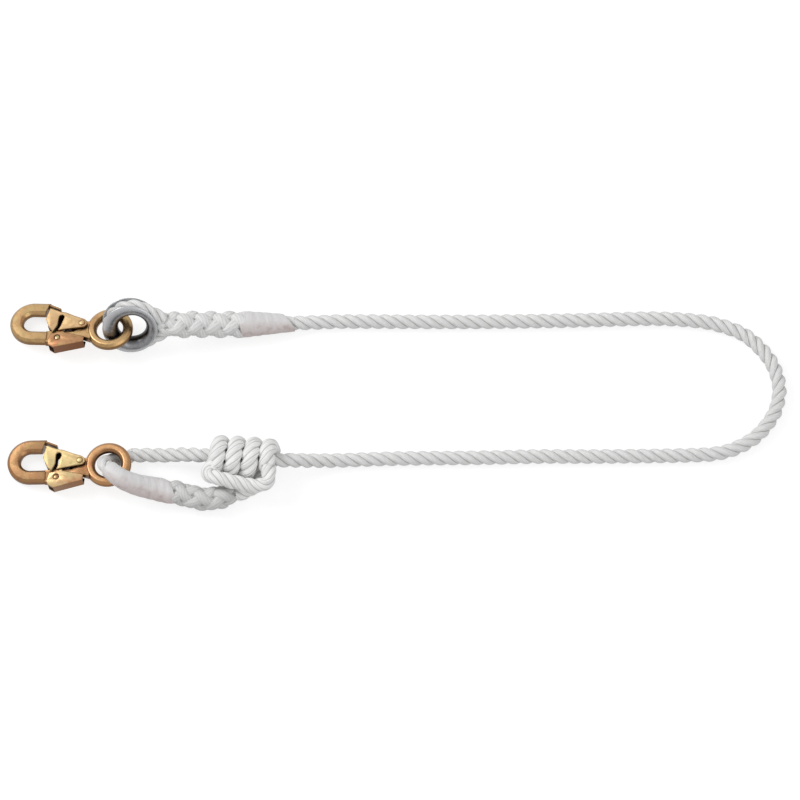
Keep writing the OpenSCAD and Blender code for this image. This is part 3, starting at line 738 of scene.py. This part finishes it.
def knot_path():
    """Lead under the band, helical turns, left loop, band along the front and the last hitch, as one
    curve."""
    turned = np.arange(round(TURN_STEPS * TURNS) + 1) / TURN_STEPS
    helix = round_axis(FIRST_TURN_X - KNOT_PITCH * turned, 180 + 360 * turned, WRAP_R - PRESS)
    band = round_axis(*np.transpose(BAND_ROUTE))
    drawn = np.clip(-HITCH_ANGLES, 0, None) / HITCH_DRAW
    hitch = round_axis(HITCH_X + drawn, HITCH_ANGLES, WRAP_R - PRESS)
    # Each join is a curve that runs on into its neighbours, without the steps that they make themselves
    start = curve_through(np.vstack([LEAD_ROUTE, helix[:2]]), LINK_STEPS)[:-LINK_STEPS - 1]
    across = curve_through(np.vstack([helix[-2:], band, hitch[:2]]), LINK_STEPS)
    across = across[LINK_STEPS + 1:-LINK_STEPS - 1]
    turns, last = curve_through(helix, HELIX_STEPS), curve_through(hitch, HITCH_STEPS)
    return evenly(np.vstack([start, turns, across, last]), RING)


def knot_rope():
    """The knot's own rope, fullest in the turns, which lie nearest to the axis."""
    p = knot_path()
    _, side, up = frames_along(p)
    far = np.linalg.norm(p - round_axis(p[:, 0], 0.0, 0.0), axis=1)
    grow = np.interp(far, (WRAP_R, BAND_R - ROPE_R), (TURN_GROW, BAND_GROW))
    return rope_piece("knot_rope", p, side, up, KNOT_TWIST, "knot_winding", grow, KNOT_STRAND_R,
                      material=KNOT_LIT_NYLON, parted=PARTED)


knot_rope()

# Spliced eye round the thimble

# Radius of the rope's eye, its roll about its length, and half the distance of its legs at the throat
CROWN_R = 25.5
EYE_ROLL = math.radians(58)
THROAT_Y = ROPE_R + 0.25
# Angle at which a leg meets the round, and the points along the round
CROWN_START = math.atan2(THROAT_Y, THROAT_X) + math.acos(CROWN_R / math.hypot(THROAT_X, THROAT_Y))
CROWN_POINTS = 90
# Share of painted shade on the side of the hook
CROWN_SHADE = 0.62


def tilted_eye(points):
    """Points of the eye's own plane, rolled about its length and set at its centre."""
    c, s = math.cos(EYE_ROLL), math.sin(EYE_ROLL)
    return np.asarray(points, float) @ np.array([[1, 0, 0], [0, c, -s], [0, s, c]]).T + EYE_CENTRE


def eye_rope():
    """The rope round the thimble: a straight leg from the throat, the arc round the crown and the other
    leg."""
    a = np.linspace(CROWN_START, 2 * math.pi - CROWN_START, CROWN_POINTS)
    arc = np.stack([CROWN_R * np.cos(a), CROWN_R * np.sin(a), 0 * a], 1)
    p = tilted_eye(evenly(np.vstack([(THROAT_X, THROAT_Y, 0), arc, (THROAT_X, -THROAT_Y, 0)]), RING))
    _, side, up = frames_along(p)
    # Between the thimble's flanges, towards the hook, the rope gets painted shade
    painted_shade = np.interp((p[:, 0] - EYE_CENTRE[0]) / CROWN_R, (-0.6, 0.4), (CROWN_SHADE, 0))
    return rope_piece("rope_eye", p, side, up, 0.0, "eye_rope", painted_shade=painted_shade)


eye_rope()

# Radius of the thimble's groove and its wall, in millimetres
GROOVE_R = 8.35
THIMBLE_WALL = 1.5
# Points round the ring and up a flange, and the angles of the points round the floor and over a rim
THIMBLE_ROWS, FLANGE_POINTS = 120, 7
BEND_ANGLES, RIM_ANGLES = np.arange(0, 181, 9.0), np.arange(30, 151, 30.0)
# Height of the flanges above the rope's middle, on the hook's side and at the throat
FLANGE_H = 8.0
FLANGE_LOW = 3.0
# How far the rim of the nearer flange leans in over the rope
CURL = 3.0


def thimble():
    """U section carried round a full ring: a half round floor with flanges beside the rope, rounded at
    their rims. The rims lie on a round set off from the ring's centre by e, so that at the angle a the
    flange stands sqrt(r^2 - e^2 sin(a)^2) - e cos(a) from that centre. The nearer flange leans in over
    the rope by CURL times the square of its height's share of the full height."""
    a = full_turn(THIMBLE_ROWS)
    off, rim_r = (FLANGE_H - FLANGE_LOW) / 2, CROWN_R + (FLANGE_H + FLANGE_LOW) / 2
    high = np.sqrt(rim_r ** 2 - (off * np.sin(a)) ** 2) - off * np.cos(a) - CROWN_R
    outward = np.stack([np.cos(a), np.sin(a), 0 * a], 1)
    shell = GROOVE_R + THIMBLE_WALL
    middle, half = GROOVE_R + THIMBLE_WALL / 2, THIMBLE_WALL / 2
    bend, rim = np.radians(BEND_ANGLES), np.radians(RIM_ANGLES)
    rise = np.linspace(1, 0, FLANGE_POINTS)[:-1]
    level = np.zeros(len(rise))
    # Outer wall from one rim round the floor to the other, over that rim, and back along the inner wall
    out = np.concatenate([rise, 0 * bend, rise[::-1]])
    wall_y = np.concatenate([level + shell, shell * np.cos(bend), level - shell])
    wall_d = np.concatenate([level, -shell * np.sin(bend), level])
    groove_y = np.concatenate([level - GROOVE_R, -GROOVE_R * np.cos(bend), level + GROOVE_R])
    groove_d = np.concatenate([level, -GROOVE_R * np.sin(bend), level])
    over_y = np.concatenate([wall_y, -middle - half * np.cos(rim), groove_y, middle - half * np.cos(rim)])
    lift = np.concatenate([out, np.ones(len(rim)), out, np.ones(len(rim))])
    fixed = np.concatenate([wall_d, half * np.sin(rim), groove_d, half * np.sin(rim)])
    across = lift[None, :] * (high - half)[:, None] + fixed[None, :]
    over = over_y - (over_y > 0) * CURL * (np.clip(across, 0, None) / FLANGE_H) ** 2
    # Share of the way from a flange's rim down to the hole, from which the material paints a highlight at the
    # rims and shade towards the hole
    depth = np.clip((high[:, None] - across) / (high[:, None] + shell), 0, 1)
    depth[:, len(wall_y) + len(rim):] = 0
    grid = sweep(CROWN_R * outward, outward, np.tile((0.0, 0.0, 1.0), (len(a), 1)), across, over)
    shape = Shape().surface(tilted_eye(grid), mark=depth, round_u=True)
    return shape.finish("thimble_shell", GALVANISED, "rope", "thimble", slot="galvanised_steel")


thimble()

# Splices and their sleeves

# Points round a tucked strand and round the heart, the pattern's step between them, and the heart's painted
# shade, seen between the strands
TUCK_POINTS, TUCK_STEP = 18, 0.016
HEART_POINTS, HEART_STEP = 32, 0.02
HEART_SHADE = 0.9
# Distance between rings along a splice and along a sleeve
SPLICE_RING = 1.5
SLEEVE_RING = 1.0
# How far the pattern of each strand lies ahead of the one before, in millimetres
STRAND_SHIFT = 17.0


def strand_tube(shape, p, half_wide, half_high, side, up, start, grey_share):
    """One strand: a flattened round carried along p, with its wide side along the given side direction.
    It is greyed by the given share, and has painted shade below: at the angle a round it by (0.25 - 0.9
    sin(a))^1.5."""
    a = full_turn(TUCK_POINTS)
    grid = sweep(p, side, up, half_wide[:, None] * np.cos(a), half_high[:, None] * np.sin(a))
    # Painted shade below each strand, and grey over it by the given share
    low = np.broadcast_to(np.maximum(np.clip(0.25 - 0.9 * np.sin(a), 0, 1) ** 1.5, grey_share), grid.shape[:2])
    shape.tube(grid, ((run_of(p) + start) * PATTERN, np.arange(TUCK_POINTS) * TUCK_STEP), low)


def splice(line, grow, heart, middle_r, weave, wide, high, lay, phase, grey_share):
    """A splice along the line, as a new shape: tucked strands round a heart, all grown by the share grow
    at each point. Three strands wind one way and three the other, each on a helix of the radius middle_r
    + weave * cos(6 pi s / lay), the two sets in opposite phase, so that they pass over and under."""
    _, side, up = frames_along(line)
    s = run_of(line)
    a = full_turn(HEART_POINTS)
    r = heart * grow[:, None]
    grid = sweep(line, side, up, r * np.cos(a), r * np.sin(a))
    uv = s * PATTERN, np.arange(HEART_POINTS) * HEART_STEP
    shape = Shape().tube(grid, uv, np.full(grid.shape[:2], HEART_SHADE))
    for turn in (1, -1):
        for k in range(3):
            angle = turn * 2 * math.pi * s / lay + 2 * math.pi * k / 3 + math.radians(phase)
            radial = np.cos(angle)[:, None] * side + np.sin(angle)[:, None] * up
            radius = (middle_r + turn * weave * np.cos(6 * math.pi * s / lay)) * grow
            p = line + radial * radius[:, None]
            way = unit(np.gradient(p, axis=0))
            out = unit(radial - (radial * way).sum(1)[:, None] * way)
            strand_tube(shape, p, wide * grow, high * grow, np.cross(way, out), out, STRAND_SHIFT * k, grey_share)
    return shape


# How far the eye's splice reaches in between the legs of the eye, in millimetres
LEG_REACH = 9.0
# Rings of it that lie inside the sleeve's mouth
MOUTH_ROWS = 6


def eye_splice():
    """Tucked strands round a heart, as far as the sleeve's mouth, and the rope's tail inside the sleeve.
    Between the legs of the eye they are thinner."""
    legs = tuple(np.array(EYE_SPLICE_ROUTE[0]) - (LEG_REACH, 0, 0))
    line = evenly(curve_through([legs] + EYE_SPLICE_ROUTE + EYE_SLEEVE_ROUTE[1:], SPLICE_STEPS), SPLICE_RING)
    line = line[:nearest(line, EYE_SLEEVE_ROUTE[0]) + MOUTH_ROWS]
    grow = np.interp(run_of(line), (0, 2 * LEG_REACH), (0.45, 1))
    shape = splice(line, grow, heart=9.5, middle_r=9.1, weave=2.25, wide=6.3, high=4.15, lay=63.0,
                   phase=40, grey_share=0.42)
    shape.tube(*SLEEVE_TAIL)
    return shape.finish("eye_splice_tucks", NYLON, "rope", "eye_splice", slot="rope")


def knot_splice():
    """Tucked strands round a heart, from inside the sleeve to the knot, where they draw in to the bare
    rope."""
    line = evenly(curve_through(BIGHT_ROUTE[-3:] + SPLICE_ROUTE[1:], SPLICE_STEPS), SPLICE_RING)
    grow = np.interp(share_along(line), (0, 0.2, 0.26, 0.86, 1), (0.84, 0.92, 1, 1, 0.57))
    shape = splice(line, grow, heart=8.7, middle_r=8.4, weave=1.8, wide=5.7, high=3.8, lay=66.0,
                   phase=15, grey_share=0.62)
    return shape.finish("knot_splice_tucks", NYLON, "rope", "adjuster_splice", slot="rope")


# Thickness of a sleeve, how far along an end is drawn in and the length of a lump, in millimetres
SLEEVE_WALL = 1.0
DRAWN_REACH = 3.5
LUMP = 21.0
# Points round a sleeve, and its pattern's step from ring to ring
SLEEVE_POINTS = 48
SLEEVE_STEP = 0.01


def sleeve(name, line, node, bore, lumps, ragged, slant, drawn):
    """Thin sleeve: outer wall, rounded rims and inner wall. Its radius swells over the tucks inside by
    lumps times waves along and round it. The near end is ragged by the given depth as 1 + sin(3a), and
    the far end is cut at a slant, shorter on the side towards +Y. Each end is drawn in by its own depth,
    times exp(-(d / DRAWN_REACH)^2)."""
    _, side, up = frames_along(line)
    s = run_of(line)
    a = full_turn(SLEEVE_POINTS)
    radial = np.cos(a)[:, None] * side[-1] + np.sin(a)[:, None] * up[-1]
    first = ragged * (0.5 + 0.5 * np.sin(3 * a + 0.8))
    last = s[-1] - slant * (0.5 + 0.5 * radial[:, 1])
    index = np.concatenate([np.arange(len(line)), [len(line) - 1], np.arange(len(line))[::-1], [0]])
    at = first + s[index][:, None] / s[-1] * (last - first)
    along = 2 * math.pi * at / LUMP
    swell = np.interp(at, s, lumps) * (np.sin(along + 3 * a) * np.cos(along - 3 * a)
                                       + 0.5 * np.sin(at / 3.1 + 2 * np.cos(a)) * np.sin(2 * a + at / 17))
    outer = np.concatenate([np.ones(len(line)), [0.5], np.zeros(len(line)), [0.5]])[:, None]
    radius = np.interp(at, s, bore) + outer * SLEEVE_WALL + np.where(outer == 1, swell, 0)
    for depth, away in zip(drawn, (at - first, last - at)):
        radius -= depth * np.exp(-(away / DRAWN_REACH) ** 2)
    middle, across, over = (np.stack([np.interp(at, s, v[:, k]) for k in range(3)], -1)
                            for v in (line, side, up))
    grid = middle + (radius * np.cos(a))[..., None] * across + (radius * np.sin(a))[..., None] * over
    uv = np.arange(len(index) + 1) * SLEEVE_STEP, np.arange(SLEEVE_POINTS + 1) / SLEEVE_POINTS
    shape = Shape().surface(grid, uv, round_u=True)
    return shape.finish(name, SLEEVE, "rope", node, slot="sleeve")


def eye_sleeve():
    """Sleeve over the eye's splice, from its wide ragged mouth to where the bare rope comes out."""
    line = evenly(curve_through(EYE_SPLICE_ROUTE + EYE_SLEEVE_ROUTE[1:], SPLICE_STEPS), SLEEVE_RING)
    line = line[nearest(line, EYE_SLEEVE_ROUTE[0]):]
    t = share_along(line)
    return sleeve("eye_sleeve", line, "eye_splice_sleeve", bore=14.7 + (8.5 - 14.7) * t,
                  lumps=0.4 - 0.25 * t, ragged=2.5, slant=15.0, drawn=(2.2, 0.0))


def knot_sleeve():
    """Sleeve over the bight's end, from the bare rope in the lower hook's eye to its wide mouth over the
    splice."""
    line = evenly(curve_through(BIGHT_ROUTE, SPLICE_STEPS), SLEEVE_RING)
    line = line[nearest(line, BIGHT_ROUTE[SLEEVE_START]):]
    t = share_along(line)
    return sleeve("knot_sleeve", line, "adjuster_sleeve", bore=9.0 + (13.2 - 9.0) * t ** 0.8,
                  lumps=0.1 + 0.3 * t, ragged=0.0, slant=12.0, drawn=(0.0, 1.8))


eye_splice()
knot_splice()
eye_sleeve()
knot_sleeve()

# Hooks: the solids with rounded edges

# Faces that turn by less than the first angle are one, and edges over the second are rounded, in degrees
FLAT_ANGLE = 0.6
ROUND_ANGLE = 28.0
ROUND_STEPS = 3
# Width of the rounding on forged and on folded pieces, in millimetres
FORGED_ROUND = 0.7
SHEET_ROUND = 0.45
# Least share by which a face looks across the fold, and along the web, to count as inside
ACROSS_FOLD = 0.7
ALONG_WEB = 0.4


def softened(hook, name, node, material, body, width, between=0.0, web=0.0):
    """A solid of the hook with its edges rounded: triangles merged, flat ones joined, sharp edges rounded
    to the given width. In a folded one, faces that look into the fold are marked for painted shade: those
    that face the hook's middle plane, and those between the cheeks that face the way of the web's inner side."""
    name, node, body = (f"{hook}_{part}" for part in (name, node, body))
    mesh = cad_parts[node].data.copy()
    mesh.name = name
    piece = in_scene(name, mesh)
    work = bmesh.new()
    work.from_mesh(mesh)
    bmesh.ops.remove_doubles(work, verts=work.verts, dist=WELD)
    bmesh.ops.dissolve_limit(work, angle_limit=math.radians(FLAT_ANGLE), verts=work.verts, edges=work.edges)
    work.to_mesh(mesh)
    work.free()
    if web:
        count = len(mesh.polygons)
        normal, middle = np.empty(3 * count), np.empty(3 * count)
        mesh.polygons.foreach_get("normal", normal)
        mesh.polygons.foreach_get("center", middle)
        axes = hook_axes(hook)
        normal = normal.reshape(-1, 3) @ axes
        middle = (middle.reshape(-1, 3) / MM - ORIGIN_SHIFT - HOOKS[hook][0]) @ axes
        facing = (normal[:, 2] * middle[:, 2] < 0) & (np.abs(normal[:, 2]) > ACROSS_FOLD)
        under = (np.abs(middle[:, 2]) < between) & (normal[:, 1] * web > ALONG_WEB)
        # Faces inside the fold, which the material paints with shade
        inside = mesh.attributes.new("inside", "FLOAT", "FACE")
        inside.data.foreach_set("value", (facing | under).astype(np.float32))
    mesh.materials.clear()
    mesh.materials.append(material)
    mesh.polygons.foreach_set("use_smooth", np.ones(len(mesh.polygons), bool))
    rounding = piece.modifiers.new("rounded_edges", "BEVEL")
    rounding.width, rounding.segments = width * MM, ROUND_STEPS
    rounding.limit_method, rounding.angle_limit = "ANGLE", math.radians(ROUND_ANGLE)
    rounding.harden_normals = True
    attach(piece, body)
    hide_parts(node)


# Hook's eye in millimetres: the middle of its bar, the bar, and how far flats and corners stand over it
EYE_R = 20.5
EYE_BAR_R = 5.5
FLAT_OVER = 0.03
CORNER_OVER = 0.3
# Points round the eye and round its bar
EYE_ROWS, EYE_POINTS = 120, 64
# Half widths between the cheeks of lock and gate, and the places of their pins
LOCK_INNER, GATE_INNER = 4.8, 6.9
GATE_PIVOT = (-31.0, 3.0)
RIVET_AT = (-57.4, -15.7)
# Points round a pin, and the shares of its head's radius at which the dome has rings
PIN_POINTS = 40
DOME_SHARES = np.linspace(0.02, 1, 9)


def domed_pin(hook, name, node, material, at, shaft, head, under, edge, crown):
    """A pin turned about the hook's Z: its profile runs from one domed head along the shaft to the other.
    The dome falls from the crown to the edge with the square of the radius."""
    dome = np.stack([head * DOME_SHARES, crown - (crown - edge) * DOME_SHARES ** 2], 1)
    top = np.vstack([dome, [(head, under), (shaft, under)]])
    profile = np.vstack([top, top[::-1] * (1, -1)])
    a = full_turn(PIN_POINTS)
    r, z = profile[:, :1], profile[:, 1:]
    grid = np.stack(np.broadcast_arrays(at[0] + r * np.cos(a), at[1] + r * np.sin(a), z), -1)
    shape = Shape().tube(in_hook(grid, hook))
    return shape.finish(f"{hook}_{name}", material, f"{hook}_hook", node, slot="gold_plate_sheet")


# Springs: the place along the shank, the seat in the hook, the end at the lever, and the turns
SPRINGS = {"gate": (-46.0, -11.1, 10.8, 7), "lock": (-36.5, -9.7, -20.3, 4)}
# Radius of the wire and of its helix, and the points along a turn and round the wire
WIRE_R = 0.45
COIL_R = 2.05
COIL_STEPS, WIRE_POINTS = 24, 12


def coil_spring(hook, lever):
    """A round wire on a helix along the hook's Y: at the share t of its length it has turned by 2 pi n t.
    Its seat lies in the hook and its end at the lever."""
    x, seat, end, turns = SPRINGS[lever]
    t = np.linspace(0, 1, COIL_STEPS * turns + 1)
    a = 2 * math.pi * turns * t
    inset = np.sign(end - seat) * WIRE_R
    radial = np.stack([np.cos(a), 0 * a, np.sin(a)], 1)
    p = np.stack([x + 0 * t, seat + inset + (end - seat - 2 * inset) * t, 0 * t], 1) + COIL_R * radial
    over = np.cross(unit(np.gradient(p, axis=0)), radial)
    b = full_turn(WIRE_POINTS)[None, :]
    grid = sweep(p, radial, over, WIRE_R * np.cos(b), WIRE_R * np.sin(b))
    shape = Shape().tube(in_hook(grid, hook), flip=True)
    ends = [tuple(laid(in_hook([(x, y, 0.0)], hook))[0]) for y in (seat, end)]
    return shape.finish(f"{hook}_{lever}_coil", WIRE, f"{hook}_hook", f"{hook}_{lever}_spring",
                        slot="spring_steel", bent=(f"{hook}_{lever}", *ends))


def ring_flats(hook):
    """Flats round the eye: a bar of eight flats with rounded corners carried round a circle. At the angle
    x from a flat's middle the radius is flat / cos(x), and no more than the corner's."""
    b = full_turn(EYE_POINTS)
    x = (b + math.pi / 8) % (math.pi / 4) - math.pi / 8
    r = np.minimum((EYE_BAR_R + FLAT_OVER) / np.cos(x), EYE_BAR_R + CORNER_OVER)
    a = full_turn(EYE_ROWS)[:, None]
    out = EYE_R + r * np.sin(b)
    grid = np.stack(np.broadcast_arrays(out * np.cos(a), out * np.sin(a), r * np.cos(b)), -1)
    shape = Shape().surface(in_hook(grid, hook), round_u=True, flip=True)
    return shape.finish(f"{hook}_ring_flats", RING_PLATE[hook], f"{hook}_hook", slot="gold_plate_forged")


for hook in HOOKS:
    softened(hook, "forging", "hook_body", FORGED[hook], "hook", FORGED_ROUND)
    ring_flats(hook)
    softened(hook, "gate_fold", "gate", GATE_PLATE[hook], "gate", SHEET_ROUND,
             between=GATE_INNER, web=-1.0)
    softened(hook, "lock_fold", "lock_lever", LOCK_PLATE[hook], "lock", SHEET_ROUND,
             between=LOCK_INNER, web=1.0)
    domed_pin(hook, "hinge_pin", f"{hook}_gate_pin", GATE_PLATE[hook], GATE_PIVOT,
              shaft=2.5, head=3.7, under=8.85, edge=9.3, crown=9.9)
    domed_pin(hook, "lock_stud", f"{hook}_lock_rivet", RIVET_PLATE[hook], RIVET_AT,
              shaft=2.0, head=3.2, under=5.6, edge=6.05, crown=6.8)
    for lever in SPRINGS:
        coil_spring(hook, lever)

# Floor and light

# Half width and height of the floor in metres, its grey, and the light it adds where it is seen
FLOOR_HALF = 12.0
FLOOR_Z = -0.0005
FLOOR_GREY = 0.36
FLOOR_LIFT = 0.74
# The surroundings' level as a light, the point that the lamps face, and each lamp's place, size and power
SKY_LEVEL = 0.55
LAMP_AIM = Vector((0.25, 0.0, 0.0))
LAMPS = {"key": ((-3.2, 1.4, 3.1), 2.6, 106.0), "fill": ((2.6, -3.0, 3.2), 3.5, 54.0)}


def floor():
    """A wide pale sheet under the object. Camera and glossy rays see it lifted to white, and it keeps the
    shadow."""
    mesh = bpy.data.meshes.new("floor")
    corners = [(x * FLOOR_HALF, y * FLOOR_HALF, FLOOR_Z) for x, y in ((-1, -1), (1, -1), (1, 1), (-1, 1))]
    mesh.from_pydata(corners, [], [(0, 1, 2, 3)])
    material, tree, shader = new_material("white_floor", Roughness=0.9, Base_Color=(*[FLOOR_GREY] * 3, 1),
                                          Emission_Color=(1, 1, 1, 1))
    lift = math_node(tree, "MULTIPLY", seen_rays(tree), FLOOR_LIFT)
    tree.links.new(lift, shader.inputs["Emission Strength"])
    mesh.materials.append(material)
    in_scene("floor", mesh)


def lamp(name, place, size, power):
    """A soft square lamp that faces the point LAMP_AIM."""
    data = bpy.data.lights.new(name, "AREA")
    data.energy, data.size = power, size
    light = in_scene(name, data)
    light.location = place
    light.rotation_euler = (LAMP_AIM - Vector(place)).to_track_quat("-Z", "Y").to_euler()


def studio():
    """White surroundings at a plain level, a large soft lamp on the left and another in front on the
    right."""
    world = bpy.data.worlds.new("studio")
    bpy.context.scene.world = world
    world.use_nodes = True
    tree = world.node_tree
    back = tree.nodes["Background"]
    back.inputs["Color"].default_value = (1, 1, 1, 1)
    tree.links.new(ranged(tree, seen_rays(tree), 0.0, 1.0, SKY_LEVEL, 1.0), back.inputs["Strength"])
    for name, values in LAMPS.items():
        lamp(name, *values)
    bpy.context.scene.view_settings.view_transform = "Standard"


floor()
studio()
